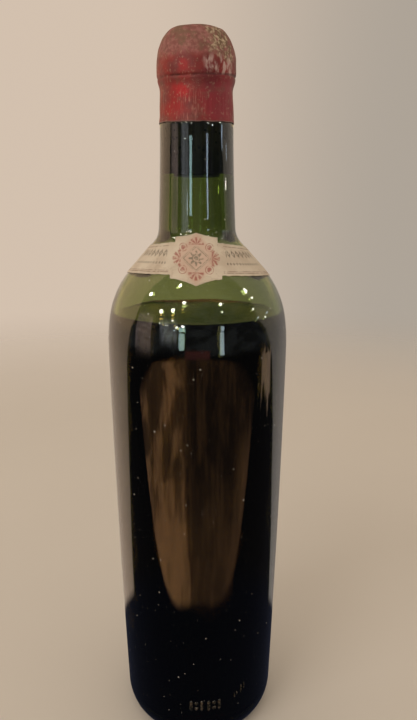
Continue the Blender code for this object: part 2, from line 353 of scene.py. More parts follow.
def green_glass():
    """Clear olive glass: colour by absorption, dust that dulls it, waves and a seam as bump."""
    made, shader, place = surface("olive_green_glass")
    dust = placed(settled_dust, Vector=place, Grain=2600.0, Amount=0.30)
    fill(shader, Base_Color=tinted(dust["Mask"], (0.98, 0.99, 0.97), (0.72, 0.69, 0.62)))
    smears = noise(place, 70.0, 4.0, (1.0, 1.0, 0.35))
    film = both(eased_mask(smears, 0.52, 0.75), 0.020)
    dull = both(dust["Mask"], 0.22)
    fill(shader, Roughness=maths("ADD", maths("ADD", film, dull), 0.008))
    fill(shader, IOR=GLASS_IOR, Transmission_Weight=1.0)
    waves = noise(place, 55.0, 2.0, (1.0, 1.0, 0.22))
    depth = node(place, "SeparateXYZ", Vector=place).outputs["Y"]
    seam = eased_mask(maths("ABSOLUTE", depth), SEAM_HALF_WIDTH, 0.0)
    wavy = bump(waves, 0.0006, 0.35)
    ridged = bump(seam, 0.00012, 0.8, wavy)
    fill(shader, Normal=bump(dust["Height"], 0.00004, 0.5, ridged))
    absorb(shader, GLASS_ABSORBS)
    return made


glass_angle = angles_round(GLASS_TURNS)
outside = outer_line()
inside = inner_line()[::-1]
outside_dip = ripple(glass_angle, outside[:, 1:], (2, 5), (0.05, 0.20), WAVE_SEED)
outside_dip = OUTSIDE_WAVE_DEPTH * (outside_dip - WAVE_PEAK) * (outside[:, :1] > EVEN_RADIUS)
inside_dip = WAVE_DEPTH * ripple(glass_angle, inside[:, 1:], (2, 9), (0.025, 0.10), WAVE_SEED + 1)
inside_dip *= np.minimum(inside[:, :1] / EVEN_RADIUS, 1.0)
outer_points = round_points(glass_angle, np.maximum(outside[:, :1] + outside_dip, 0.0), outside[:, 1:])
inner_points = round_points(glass_angle, np.maximum(inside[:, :1] + inside_dip, 0.0), inside[:, 1:])
bottle = skin("bottle_glass", np.vstack([outer_points, inner_points]))
bottle.data.materials.append(green_glass())
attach(bottle, "root")
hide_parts("glass_bottle")


# The wine is an old red, so dark that no light comes through the body. It fills the bottle up
# to the shoulder, reaches just into the glass wall so that no air shows between them, and
# climbs the wall a little in a meniscus.
WINE_LEVEL = 0.1943
WINE_INTO_WALL = 0.0003
MENISCUS_HEIGHT = 0.0009
MENISCUS_REACH = 0.0022
WINE_IOR = 1.34
WINE_ABSORBS = np.array([170.0, 900.0, 1400.0])


def wine_line():
    """Up the inside of the glass to the level, then in: z = level + height * exp(-gap / reach)."""
    wall = inner_line()
    wall = wall[wall[:, 1] < WINE_LEVEL + MENISCUS_HEIGHT] + [WINE_INTO_WALL, 0.0]
    wall[0, 0] = 0.0
    wall[:, 1] -= WINE_INTO_WALL * (wall[:, 1] < BASE_THICKNESS + PUNT_HEIGHT + WINE_INTO_WALL)
    edge = np.interp(WINE_LEVEL, inner_line()[16:, 1], inner_line()[16:, 0]) + WINE_INTO_WALL
    radius = edge * (1.0 - np.linspace(0.0, 1.0, 40) ** 2)
    height = WINE_LEVEL + MENISCUS_HEIGHT * np.exp(-(edge - radius) / MENISCUS_REACH)
    return np.vstack([wall, np.column_stack([radius, height])])


def red_wine():
    """Dark red wine with a faint haze on its surface."""
    made, shader, place = surface("old_red_wine")
    haze = noise(place, 160.0, 3.0)
    fill(shader, Base_Color=(1.0, 0.97, 0.95), IOR=WINE_IOR, Transmission_Weight=1.0)
    fill(shader, Roughness=both(eased_mask(haze, 0.5, 0.8), 0.05))
    absorb(shader, WINE_ABSORBS)
    return made


wine_profile = wine_line()
wine = skin("wine_fill", round_points(angles_round(96), wine_profile[:, :1], wine_profile[:, 1:]))
wine.data.materials.append(red_wine())
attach(wine, "root")
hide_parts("wine")


# The cork is a long plug cut from bark, darkened by the wine that has soaked up it. It was
# driven into the bore and presses into the glass all round, so its sides are wet with glass,
# and only its rounded ends stand free.
CORK_LOW_Z = 0.2505
CORK_HIGH_Z = 0.3028
CORK_PRESS = 0.00016
CORK_CHAMFER = 0.0006
CORK_BULGE = 0.00025
CORK_SOAKED_HEIGHT = 0.022
CORK_ANGLE_STEPS = 96


def cork_points():
    """A plug of radius bore + press, less chamfer - gap near its ends, whose faces bulge a little:
    height = end + bulge * (1 - (r / radius) ** 2)."""
    height = np.linspace(CORK_LOW_Z, CORK_HIGH_Z, 50)
    from_end = np.minimum(height - CORK_LOW_Z, CORK_HIGH_Z - height)
    radius = BORE_RADIUS + CORK_PRESS - np.clip(CORK_CHAMFER - from_end, 0.0, None)
    angle = angles_round(CORK_ANGLE_STEPS)
    side = round_points(angle, radius[:, None], height[:, None])
    inward = np.linspace(1.0, 0.0, 9)[1:, None]
    bulge = CORK_BULGE * (1.0 - inward**2)
    low = round_points(angle, radius[0] * inward, CORK_LOW_Z - bulge)
    high = round_points(angle, radius[-1] * inward, CORK_HIGH_Z + bulge)
    return np.vstack([low[::-1], side, high])


def soaked_cork():
    """Bark brown with dark pits and vertical grain, stained dark at its lower end."""
    made, shader, place = surface("soaked_cork")
    grain = noise(place, 500.0, 4.0, (1.0, 1.0, 0.18))
    pits = node(place, "TexVoronoi", {"feature": "F1"}, Vector=place, Scale=420.0).outputs["Distance"]
    pit_mask = eased_mask(pits, 0.28, 0.12)
    bark = tinted(eased_mask(grain, 0.35, 0.7), (0.115, 0.078, 0.055), (0.22, 0.16, 0.115))
    pitted = tinted(pit_mask, bark, (0.028, 0.020, 0.016))
    height = node(place, "SeparateXYZ", Vector=place).outputs["Z"]
    soaked = eased_mask(height, CORK_LOW_Z + CORK_SOAKED_HEIGHT, CORK_LOW_Z)
    stains = placed(age_stains, Vector=place, Scale=220.0, Amount=0.7)
    wet = maths("MAXIMUM", soaked, both(stains["Mask"], 0.6))
    fill(shader, Base_Color=tinted(wet, pitted, (0.020, 0.014, 0.015)))
    fill(shader, Roughness=maths("SUBTRACT", 0.85, both(wet, 0.4)))
    relief = maths("SUBTRACT", grain, pit_mask)
    fill(shader, Normal=bump(relief, 0.0002, 0.7))
    return made


cork = skin("cork_plug", cork_points())
cork.data.materials.append(soaked_cork())
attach(cork, "root")
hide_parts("cork")


# The capsule is a soft metal foil cap, pressed over the lip of the mouth and down the neck.
# A crease runs round under the lip, fine upright crinkles show where the skirt was gathered,
# and its red coat is dull, stained and crusted with old dirt at the top.
CAPSULE_TURNS = 280
CAPSULE_ROWS = 130
CAPSULE_LOW_Z = 0.2698
CAPSULE_TOP_Z = 0.3050
CUT_RISE = 0.0008
CUT_REACH = 0.0026
FOIL_THICKNESS = 0.00016
SKIRT_RADIUS = 0.0151
COLLAR_RADIUS = 0.0148
COLLAR_Z = 0.2740
WAIST_RADIUS = 0.0146
WAIST_Z = 0.2837
BEAD_RADIUS = 0.0154
BEAD_Z = 0.2865
LIP_RADIUS = 0.0157
LIP_LOW_Z = 0.2890
LIP_HIGH_Z = 0.2940
CROWN_FLAT_RADIUS = 0.0102
CROWN_POWER = 1.58
CREASE_Z = 0.2866
CREASE_SLOPE = 0.03
CREASE_BEND = 4.2
CREASE_DEPTH = 0.00045
CREASE_WIDTH = 0.00042
CREASE_WANDER = 0.00025
GATHER_TOP_Z = 0.2835
GATHER_FADE = 0.006
FOLD_DEPTH = 0.00006
CRINKLE_DEPTH = 0.00012
DENT_DEPTH = 0.00011
SAG_DEPTH = 0.00013
FRAY_DEPTH = 0.00013
CRIMSON_PLACE = (0.0105, -0.0105, 0.2780)
SHADOW_PLACE = (0.0054, -0.0147, 0.2862)
# The next three places are the centres of the painted highlight patches on the foil.
LOW_HIGHLIGHT_PLACE = (-0.0085, -0.0122, 0.2755)
BIG_HIGHLIGHT_PLACE = (-0.0050, -0.0137, 0.2806)
SMALL_HIGHLIGHT_PLACE = (-0.0046, -0.0150, 0.2898)
CRUST_PLACE = (0.0105, -0.0112, 0.2985)
RUB_PLACE = (0.0095, -0.0124, 0.2900)
# Centre of the painted highlight streaks on the crinkle ridges of the skirt.
RIDGE_HIGHLIGHT_PLACE = (-0.0024, -0.0146, 0.2762)


def capsule_line():
    """Straight and curved runs up the skirt and lip, smoothed by a running mean, then a crown
    r = flat + w * cos(a) ** (2 / n), z = lip + h * sin(a) ** (2 / n), and a flat to the axis."""
    stops = np.array([
        (CAPSULE_LOW_Z, SKIRT_RADIUS),
        (MOUTH_Z, SKIRT_RADIUS),
        (COLLAR_Z, COLLAR_RADIUS),
        (WAIST_Z, WAIST_RADIUS),
        (BEAD_Z, BEAD_RADIUS),
        (LIP_LOW_Z, LIP_RADIUS),
        (LIP_HIGH_Z, LIP_RADIUS),
    ])
    height = np.linspace(CAPSULE_LOW_Z, LIP_HIGH_Z, 90)
    radius = np.interp(height, stops[:, 0], stops[:, 1])
    padded = np.pad(radius, 4, mode="edge")
    radius = np.convolve(padded, np.full(9, 1.0 / 9.0), mode="valid")
    radius[-1] = LIP_RADIUS
    turn = np.linspace(0.0, math.pi / 2, 40)[1:]
    width = LIP_RADIUS - CROWN_FLAT_RADIUS
    crown_radius = CROWN_FLAT_RADIUS + width * np.cos(turn) ** (2.0 / CROWN_POWER)
    crown_height = LIP_HIGH_Z + (CAPSULE_TOP_Z - LIP_HIGH_Z) * np.sin(turn) ** (2.0 / CROWN_POWER)
    flat = np.linspace(CROWN_FLAT_RADIUS, 0.0, 12)[1:]
    line = np.vstack([
        np.column_stack([radius, height]),
        np.column_stack([crown_radius, crown_height]),
        np.column_stack([flat, np.full(flat.size, CAPSULE_TOP_Z)]),
    ])
    steps = np.hypot(*np.diff(line, axis=0).T)
    run = np.concatenate([[0.0], np.cumsum(steps)])
    even = np.linspace(0.0, run[-1], CAPSULE_ROWS)
    return np.column_stack([np.interp(even, run, line[:, 0]), np.interp(even, run, line[:, 1])]), even


def crease_height(x):
    """The crease rises to the right and towards both sides: z = middle + slope * x + bend * x ** 2."""
    return CREASE_Z + CREASE_SLOPE * x + CREASE_BEND * x**2


def capsule_points():
    """The turned line, moved in and out by a crease, gathers, dents and folds, each a field of
    angle and height, and its crown let down by a soft sag."""
    line, run = capsule_line()
    angle = angles_round(CAPSULE_TURNS)
    radius = line[:, :1]
    height = line[:, 1:]
    along = run[:, None]
    wander = CREASE_WANDER * ripple(angle, 0.0 * along, (1, 4), (0.01, 0.02), 31)
    fold_height = crease_height(radius * np.sin(angle)) + wander
    crease = np.exp(-(((height - fold_height) / CREASE_WIDTH) ** 2))
    crease *= np.clip(0.6 + 0.4 * ripple(angle, along, (2, 7), (0.01, 0.03), 32), 0.1, 1.0)
    gathers = np.clip(ripple(angle, along, (20, 62), (0.02, 0.09), 33, 40), -1.5, 1.5)
    gathered = np.clip((GATHER_TOP_Z - height) / GATHER_FADE, 0.0, 1.0)
    dents = ripple(angle, along, (2, 9), (0.008, 0.03), 34)
    folds = np.clip(ripple(angle, along, (6, 22), (0.004, 0.014), 35, 40), -1.0, 1.5)
    upward = np.clip((height - WAIST_Z) / 0.004, 0.0, 1.0)
    over_glass = np.clip((height - MOUTH_Z - 0.0006) / 0.0016, 0.08, 1.0)
    inward = CREASE_DEPTH * crease + CRINKLE_DEPTH * gathered * gathers
    inward = (inward + DENT_DEPTH * dents + FOLD_DEPTH * folds * upward) * over_glass
    from_axis = np.clip(radius / 0.008, 0.0, 1.0) ** 2
    lumps = ripple(angle, along, (1, 6), (0.006, 0.02), 36) * from_axis
    over_lip = np.clip((height - LIP_HIGH_Z) / 0.006, 0.0, 1.0) ** 2
    cut = np.clip(1.0 - (height - CAPSULE_LOW_Z) / CUT_REACH, 0.0, 1.0)
    frayed = FRAY_DEPTH * (ripple(angle, 0.0 * along, (3, 24), (0.01, 0.02), 37) + 1.5)
    raised = (np.clip(frayed, 0.0, None) + CUT_RISE * np.sin(angle) ** 2) * cut
    lowered = np.clip(SAG_DEPTH * (lumps + 1.6), 0.0, None) * over_lip
    return round_points(angle, radius - inward * from_axis, height - lowered + raised)


def near(place, centre, reach, edge, wander=0.0):
    """A mask of 1 within reach of a place on the piece, 0 past reach + edge, whose border a
    noise in 0..1 moves out and in by wander."""
    far = node(place, "VectorMath", {"operation": "DISTANCE"}, Vector=place)
    far.inputs[1].default_value = centre
    off = far.outputs["Value"]
    if wander:
        rough = noise(place, 230.0, 3.0, place=centre)
        off = scaled(maths("SUBTRACT", rough, 0.5), wander, off)
    return eased_mask(off, reach + edge, reach)


def red_foil():
    """Brick red over metal: dull patches, bright patches of painted highlight, a darker patch
    of painted shadow, a brown crown with a crust of old dirt at one side, rubbed flecks on the
    lip, lighter streaks of painted highlight on the crinkles, and a dark line of painted shade
    along the crease."""
    made, shader, place = surface("worn_red_foil")
    axes = node(place, "SeparateXYZ", Vector=place).outputs
    height = axes["Z"]
    patches = noise(place, 150.0, 5.0, place=(0.3, 0.1, 0.7))
    fine = noise(place, 700.0, 4.0)
    ridge_streak_noise = noise(place, 1700.0, 2.0, (1.0, 1.0, 0.10), (0.6, 0.2, 0.9))

    dull = (0.175, 0.032, 0.031)
    warm = (0.250, 0.024, 0.021)
    red = tinted(eased_mask(patches, 0.38, 0.64), dull, warm)
    crimson = near(place, CRIMSON_PLACE, 0.0060, 0.0060, 0.006)
    red = tinted(both(crimson, 0.7), red, (0.270, 0.020, 0.036))
    shadowed = near(place, SHADOW_PLACE, 0.0018, 0.0040, 0.004)
    red = tinted(both(shadowed, 0.7), red, (0.135, 0.011, 0.018))
    # Painted highlight: bright red patches on the skirt and lip, where the foil's sheen catches the
    # light.
    low_highlight = near(place, LOW_HIGHLIGHT_PLACE, 0.0020, 0.0045, 0.006)
    big_highlight = near(place, BIG_HIGHLIGHT_PLACE, 0.0010, 0.0044, 0.009)
    small_highlight = near(place, SMALL_HIGHLIGHT_PLACE, 0.0002, 0.0030, 0.006)
    painted_highlight = maths("MAXIMUM", big_highlight, both(small_highlight, 0.60))
    painted_highlight = maths("MAXIMUM", painted_highlight, both(low_highlight, 0.45))
    red = tinted(painted_highlight, red, (0.370, 0.008, 0.011))

    crown_zone = eased_mask(scaled(patches, 0.007, height), 0.2955, 0.3010)
    blotches = noise(place, 260.0, 4.0, place=(0.7, 0.7, 0.2))
    crown_red = tinted(eased_mask(fine, 0.38, 0.64), (0.250, 0.090, 0.078), (0.350, 0.150, 0.135))
    crown = tinted(eased_mask(blotches, 0.48, 0.64), crown_red, (0.215, 0.115, 0.080))
    faded = tinted(crown_zone, red, crown)
    stains = placed(age_stains, Vector=place, Scale=240.0, Amount=0.55)
    browned = tinted(both(stains["Mask"], 0.60), faded, (0.165, 0.072, 0.052))
    fleck_noise = noise(place, 1100.0, 3.0, (1.0, 1.0, 0.7), (0.1, 0.8, 0.3))
    flecks = both(eased_mask(fleck_noise, 0.58, 0.70), 0.45)
    browned = tinted(flecks, browned, (0.36, 0.22, 0.16))

    crust_zone = near(place, CRUST_PLACE, 0.0040, 0.0046, 0.013)
    clumps = noise(place, 520.0, 5.0, place=(0.4, 0.4, 0.4))
    crust = both(crust_zone, eased_mask(clumps, 0.36, 0.54))
    dirt_shade = noise(place, 820.0, 5.0, place=(0.9, 0.3, 0.5))
    dirt = tinted(eased_mask(dirt_shade, 0.40, 0.66), (0.185, 0.115, 0.066), (0.56, 0.44, 0.31))
    crusted = tinted(crust, browned, dirt)

    rub_zone = near(place, RUB_PLACE, 0.0050, 0.0030, 0.005)
    lip_band = both(eased_mask(height, 0.2868, 0.2878), eased_mask(height, 0.2950, 0.2915))
    specks = noise(place, 600.0, 4.0, (1.0, 1.0, 0.42), (0.2, 0.4, 0.1))
    rubbed = both(rub_zone, lip_band, eased_mask(specks, 0.44, 0.62))
    worn = tinted(both(rubbed, 0.75), crusted, (0.58, 0.42, 0.39))
    # Painted highlight: lighter red upright streaks along the crinkle ridges of the skirt.
    ridge_highlight_zone = near(place, RIDGE_HIGHLIGHT_PLACE, 0.0035, 0.0040, 0.003)
    ridge_highlight = both(ridge_highlight_zone, eased_mask(ridge_streak_noise, 0.52, 0.63))
    worn = tinted(both(ridge_highlight, 0.70), worn, (0.40, 0.150, 0.125))

    # Painted shade: a dark line along the crease, broken into faint blotches.
    bent = both(axes["X"], scaled(axes["X"], CREASE_BEND, CREASE_SLOPE))
    from_crease = maths("SUBTRACT", maths("SUBTRACT", height, CREASE_Z), bent)
    crease_shade_line = eased_mask(maths("ABSOLUTE", from_crease), 0.00065, 0.00015)
    faint = scaled(eased_mask(blotches, 0.62, 0.45), 0.50, 0.15)
    crease_shaded = tinted(both(crease_shade_line, faint), worn, (0.070, 0.014, 0.013))
    dust = placed(settled_dust, Vector=place, Grain=3200.0, Amount=0.45)
    dusty = tinted(both(dust["Mask"], 0.30), crease_shaded, (0.36, 0.27, 0.21))
    from_cut = scaled(both(axes["X"], axes["X"]), -CUT_RISE / SKIRT_RADIUS**2, height)
    cut_edge = eased_mask(from_cut, CAPSULE_LOW_Z + 0.0008, CAPSULE_LOW_Z + 0.0004)
    edged = tinted(both(cut_edge, 0.7), dusty, (0.19, 0.135, 0.118))
    fill(shader, Base_Color=edged)
    fill(shader, Specular_IOR_Level=0.3)
    fill(shader, Metallic=both(maths("SUBTRACT", 1.0, crust), 0.2))
    shine = scaled(fine, 0.22, 0.42)
    matt = maths("MAXIMUM", crust, maths("MAXIMUM", stains["Mask"], crown_zone))
    fill(shader, Roughness=maths("MAXIMUM", shine, both(matt, 0.80)))
    relief = scaled(fine, 0.25, both(crust, clumps))
    relief = scaled(ridge_highlight, 0.25, relief)
    pressed = bump(relief, 0.0005, 0.7)
    fill(shader, Normal=bump(dust["Height"], 0.00005, 0.4, pressed))
    return made


capsule = skin("foil_capsule", capsule_points())
foil = capsule.modifiers.new("Foil", "SOLIDIFY")
foil.thickness = FOIL_THICKNESS
foil.offset = -1.0
capsule.data.materials.append(red_foil())
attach(capsule, "root")
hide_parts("capsule")


# The neck label is a strip of printed paper, pasted round the cone of the shoulder a little
# askew, with a stepped and pointed badge at the front. The paper has yellowed, its edges are
# rough, and the glue has let go of its lower edge in places.
LABEL_Z = 0.2172
LABEL_DIP = math.radians(4.5)
LABEL_ROLL = math.radians(1.2)
STRIP_HALF_HEIGHT = 0.00635
STRIP_HALF_ANGLE = math.radians(127.5)
STRIP_RADIUS = 0.0260
BADGE_LOW_HALF_WIDTH = 0.0103
BADGE_HIGH_HALF_WIDTH = 0.0085
BADGE_LOW_STEP = -0.0077
BADGE_HIGH_STEP = 0.0084
BADGE_LOW_POINT = -0.0103
BADGE_HIGH_POINT = 0.0100
POINT_POWER = 1.7
UPRIGHT_HALF_WIDTH = 0.0105
TURN_IN_WIDTH = 0.0055
LABEL_GAP = 0.000084
LABEL_PAPER = 0.00014
EDGE_LIFT = 0.00010
EDGE_FRAY = 0.00010
STRIP_TAPER = 0.0011
STEP_BLUR = 0.00003
SHEET_WIDTH = 2.0 * STRIP_HALF_ANGLE * STRIP_RADIUS
SHEET_HEIGHT = 0.0220


def badge_edge(across, half_width, strip, step, point):
    """Height of an edge: strip outside the badge, step + (point - step) * (1 - x / w) ** power."""
    inward = np.clip(1.0 - np.abs(across) / half_width, 0.0, 1.0)
    return np.where(np.abs(across) < half_width, step + (point - step) * inward**POINT_POWER, strip)


def label_points():
    """Columns stand upright across the badge and turn to the axis beyond it; rows run between
    the edges. Each height is solved so that it is counted from the label's tilted middle plane."""
    half = STRIP_HALF_ANGLE * STRIP_RADIUS
    even = np.linspace(-half, half, 241)
    steps = np.array([BADGE_LOW_HALF_WIDTH, BADGE_HIGH_HALF_WIDTH])
    pairs = np.concatenate([steps - STEP_BLUR, steps + STEP_BLUR])
    across = np.unique(np.concatenate([even, pairs, -pairs]))
    low = badge_edge(across, BADGE_LOW_HALF_WIDTH, -STRIP_HALF_HEIGHT, BADGE_LOW_STEP, BADGE_LOW_POINT)
    high = badge_edge(across, BADGE_HIGH_HALF_WIDTH, STRIP_HALF_HEIGHT, BADGE_HIGH_STEP, BADGE_HIGH_POINT)
    low = low + EDGE_FRAY * ripple(across / STRIP_RADIUS, 0.0, (8, 90), (1.0, 2.0), 51, 50)
    high = high + EDGE_FRAY * ripple(across / STRIP_RADIUS, 0.0, (8, 90), (1.0, 2.0), 52, 50)
    beside = np.abs(across) > BADGE_HIGH_HALF_WIDTH
    high = high - STRIP_TAPER * beside * np.sin(across / STRIP_RADIUS) ** 2
    up = np.linspace(0.0, 1.0, 25)[:, None]
    rise = low + (high - low) * up
    normal = (
        math.sin(LABEL_ROLL) * math.cos(LABEL_DIP),
        math.sin(LABEL_DIP),
        math.cos(LABEL_ROLL) * math.cos(LABEL_DIP),
    )
    shoulder = outside[(outside[:, 1] > WIDEST_Z) & (outside[:, 1] < MOUTH_Z - 0.01)]
    turned_angle = across / STRIP_RADIUS
    beyond = np.clip((np.abs(across) - UPRIGHT_HALF_WIDTH) / TURN_IN_WIDTH, 0.0, 1.0)
    beyond = beyond * beyond * (3.0 - 2.0 * beyond)
    lifted = EDGE_LIFT * (1.0 - up) ** 3 * (1.0 + 0.5 * ripple(turned_angle, 0.0, (2, 9), (1.0, 2.0), 53))
    height = LABEL_Z + rise
    for _ in range(14):
        radius = np.interp(height, shoulder[:, 1], shoulder[:, 0]) + LABEL_GAP + lifted
        upright = np.arcsin(np.clip(STRIP_RADIUS * np.sin(turned_angle) / radius, -1.0, 1.0))
        angle = np.where(beyond < 1.0, (1.0 - beyond) * upright + beyond * turned_angle, turned_angle)
        x = radius * np.sin(angle)
        y = -radius * np.cos(angle)
        height = LABEL_Z + (rise - normal[0] * x - normal[1] * y) / normal[2]
    flat = np.stack([np.broadcast_to(across, rise.shape), rise], axis=-1)
    return np.stack([x, y, height], axis=-1), flat


def lay_flat_map(piece, flat):
    """A UV map: how far along and up the flat sheet each grid point lies, as parts of its size."""
    corners = np.empty(len(piece.data.loops), np.int32)
    piece.data.loops.foreach_get("vertex_index", corners)
    spots = flat.reshape(-1, 2)[corners] / [SHEET_WIDTH, SHEET_HEIGHT] + 0.5
    layer = piece.data.uv_layers.new(name="flat_sheet")
    layer.uv.foreach_set("vector", spots.astype(np.float32).ravel())


def band(value, middle, half_width, soft=0.04):
    """A mask of 1 where value is within half_width of middle, in millimetres."""
    off = maths("ABSOLUTE", maths("SUBTRACT", value, middle))
    return eased_mask(off, half_width + soft, half_width - soft)


def distance(across, out):
    """How far a spot lies from a middle: the root of across ** 2 + out ** 2."""
    return maths("SQRT", maths("ADD", both(across, across), both(out, out)))


def fan(across, out, radius):
    """A half disc of rays that opens along out: r < radius, out > 0 and cos(9 a) > 0."""
    far = distance(across, out)
    turn = maths("ARCTAN2", across, out)
    rays = eased_mask(maths("COSINE", both(turn, 9.0)), -0.55, -0.1)
    disc = eased_mask(far, radius + 0.08, radius - 0.08)
    ahead = eased_mask(out, -0.1, 0.1)
    return both(rays, disc, ahead)


def label_paper():
    """Yellowed paper with thin rules, rows of small ornaments and a badge of a flower in a
    lozenge between four fans, all worn and a little faded."""
    made, shader, place = surface("aged_label_paper")
    flat = node(place, "UVMap", {"uv_map": "flat_sheet"}).outputs[0]
    spread = node(place, "VectorMath", {"operation": "MULTIPLY_ADD"}, Vector=flat)
    spread.inputs[1].default_value = (SHEET_WIDTH * 1000.0, SHEET_HEIGHT * 1000.0, 0.0)
    spread.inputs[2].default_value = (-SHEET_WIDTH * 500.0, -SHEET_HEIGHT * 500.0, 0.0)
    axes = node(place, "SeparateXYZ", Vector=spread.outputs[0])
    along = axes.outputs["X"]
    up = axes.outputs["Y"]
    side = maths("ABSOLUTE", along)
    tall = maths("ABSOLUTE", up)
    on_strip = eased_mask(side, 10.9, 11.1)

    round_turn = maths("SINE", maths("DIVIDE", along, STRIP_RADIUS * 1000.0))
    from_taper = scaled(both(round_turn, round_turn), STRIP_TAPER * 1000.0, up)
    rules = maths("MAXIMUM", band(from_taper, 5.15, 0.13), band(up, -4.75, 0.11))
    rules = both(maths("MAXIMUM", rules, band(up, -5.35, 0.17)), on_strip)

    beat = maths("PINGPONG", maths("SUBTRACT", side, 13.0), 1.35)
    from_row = maths("ABSOLUTE", maths("SUBTRACT", up, 1.9))
    lozenge = scaled(beat, 1.35, from_row)
    upper_row = eased_mask(lozenge, 1.60, 1.45)
    hollow = eased_mask(lozenge, 0.45, 0.65)
    small_beat = maths("PINGPONG", maths("SUBTRACT", side, 13.0), 0.80)
    dash = both(band(small_beat, 0.0, 0.34), band(up, -1.9, 0.42))
    rows = maths("MAXIMUM", both(upper_row, hollow), dash)
    row_ends = both(eased_mask(side, 12.4, 12.6), eased_mask(side, 33.0, 32.8))
    rows = both(rows, row_ends)

    far = distance(along, up)
    turn = maths("ARCTAN2", up, along)
    petal_edge = scaled(maths("COSINE", both(turn, 8.0)), 0.75, 2.25)
    petals = eased_mask(maths("SUBTRACT", far, petal_edge), 0.08, -0.08)
    flower = maths("SUBTRACT", petals, band(far, 1.05, 0.14))
    frame_reach = maths("ADD", side, both(tall, 1.12))
    lozenge_frame = maths("MAXIMUM", band(frame_reach, 5.0, 0.20), band(frame_reach, 5.8, 0.10))
    grey_print = maths("MAXIMUM", flower, lozenge_frame)

    end_fans = fan(along, maths("SUBTRACT", tall, 5.3), 3.0)
    side_fans = fan(up, maths("SUBTRACT", side, 6.1), 3.3)
    fans = maths("MAXIMUM", end_fans, side_fans)
    dot_far = distance(maths("SUBTRACT", side, 5.2), maths("SUBTRACT", tall, 4.3))
    red_print = maths("MAXIMUM", fans, eased_mask(dot_far, 1.05, 0.85))
    red_print = maths("MAXIMUM", red_print, band(dot_far, 1.55, 0.13))
    red_print = both(red_print, eased_mask(side, 9.6, 9.4))

    fibres = noise(place, 900.0, 5.0)
    clouds = noise(place, 120.0, 4.0)
    paper = tinted(eased_mask(clouds, 0.35, 0.68), (0.69, 0.605, 0.495), (0.58, 0.485, 0.385))
    stains = placed(age_stains, Vector=place, Scale=150.0, Amount=0.45)
    stained = tinted(both(stains["Mask"], 0.30), paper, (0.38, 0.27, 0.18))
    ringed = tinted(both(stains["Rim"], 0.25), stained, (0.32, 0.22, 0.14))
    blush_zone = eased_mask(scaled(tall, 0.9, side), 10.5, 8.0)
    blushed = tinted(both(blush_zone, 0.48), ringed, (0.58, 0.34, 0.26))
    inked = both(eased_mask(fibres, 0.32, 0.56), 0.76)
    ruled = tinted(both(rules, inked), blushed, (0.22, 0.12, 0.08))
    row_ink = scaled(inked, 0.6, 0.35)
    rowed = tinted(both(rows, row_ink), ruled, (0.13, 0.105, 0.075))
    greyed = tinted(both(grey_print, inked), rowed, (0.15, 0.14, 0.095))
    reddened = tinted(both(red_print, inked), greyed, (0.34, 0.075, 0.060))
    fill(shader, Base_Color=reddened)
    fill(shader, Roughness=maths("ADD", 0.68, both(fibres, 0.2)))
    cockle = bump(clouds, 0.0006, 0.35)
    fill(shader, Normal=bump(fibres, 0.00008, 0.6, cockle))
    return made


sheet_points, sheet_flat = label_points()
label = skin("neck_label_sheet", sheet_points, around=False, weld=False)
lay_flat_map(label, sheet_flat)
paper = label.modifiers.new("Paper", "SOLIDIFY")
paper.thickness = LABEL_PAPER
paper.offset = 1.0
label.data.materials.append(label_paper())
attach(label, "root")
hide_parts("neck_label")


# Low on the front of the bottle the mould left small raised marks: bars and dots in a row, and
# a few fine ridges beside them. They are part of the glass, worn and a little dirty on top.
MARK_RISE = 0.00040
MARK_SINK = 0.00015
MARK_ROW_Z = 0.0212
MARKS = np.array([
    (-0.0030, MARK_ROW_Z, 0.00075, 0.0029),
    (-0.0006, MARK_ROW_Z + 0.0014, 0.00090, 0.0009),
    (-0.0006, MARK_ROW_Z - 0.0014, 0.00090, 0.0009),
    (0.0018, MARK_ROW_Z, 0.00075, 0.0029),
    (0.0050, MARK_ROW_Z, 0.00075, 0.0029),
    (0.0074, MARK_ROW_Z + 0.0014, 0.00090, 0.0009),
    (0.0074, MARK_ROW_Z - 0.0014, 0.00090, 0.0009),
    (0.0098, MARK_ROW_Z, 0.00075, 0.0029),
    (0.0172, 0.0234, 0.00030, 0.0013),
    (0.0184, 0.0242, 0.00028, 0.0010),
    (0.0207, 0.0256, 0.00032, 0.0023),
    (0.0222, 0.0266, 0.00028, 0.0019),
])


def outer_radius(height):
    """The radius of the bottle's outside at a height on its side."""
    upward = outside[(outside[:, 1] > 0.002) & (outside[:, 0] > 0.0145)]
    return np.interp(height, upward[:, 1], upward[:, 0])


def mark_points(marks):
    """Pillows on the glass: an outline |x / w| ** 3 + |z / h| ** 3 = s ** 3 with s from 0 below to
    1 and back to 0 on top, raised by rise * (1 - s ** 4) above and sunk by sink below."""
    turn = angles_round(20)[None, None, :]
    across = np.sign(np.sin(turn)) * np.abs(np.sin(turn)) ** (2.0 / 3.0)
    upward = -np.sign(np.cos(turn)) * np.abs(np.cos(turn)) ** (2.0 / 3.0)
    size = np.array([0.0, 0.6, 1.0, 0.95, 0.8, 0.55, 0.3, 0.0])[None, :, None]
    above = np.array([0.0, 0.0, 0.0, 1.0, 1.0, 1.0, 1.0, 1.0])[None, :, None]
    x, z, half_width, half_height = marks.T[:, :, None, None]
    height = z + half_height * upward * size
    rise = above * MARK_RISE * (1.0 - size**4) - (1.0 - above) * MARK_SINK
    angle = (x + half_width * across * size) / outer_radius(z)
    return round_points(angle, outer_radius(height) + rise, height)


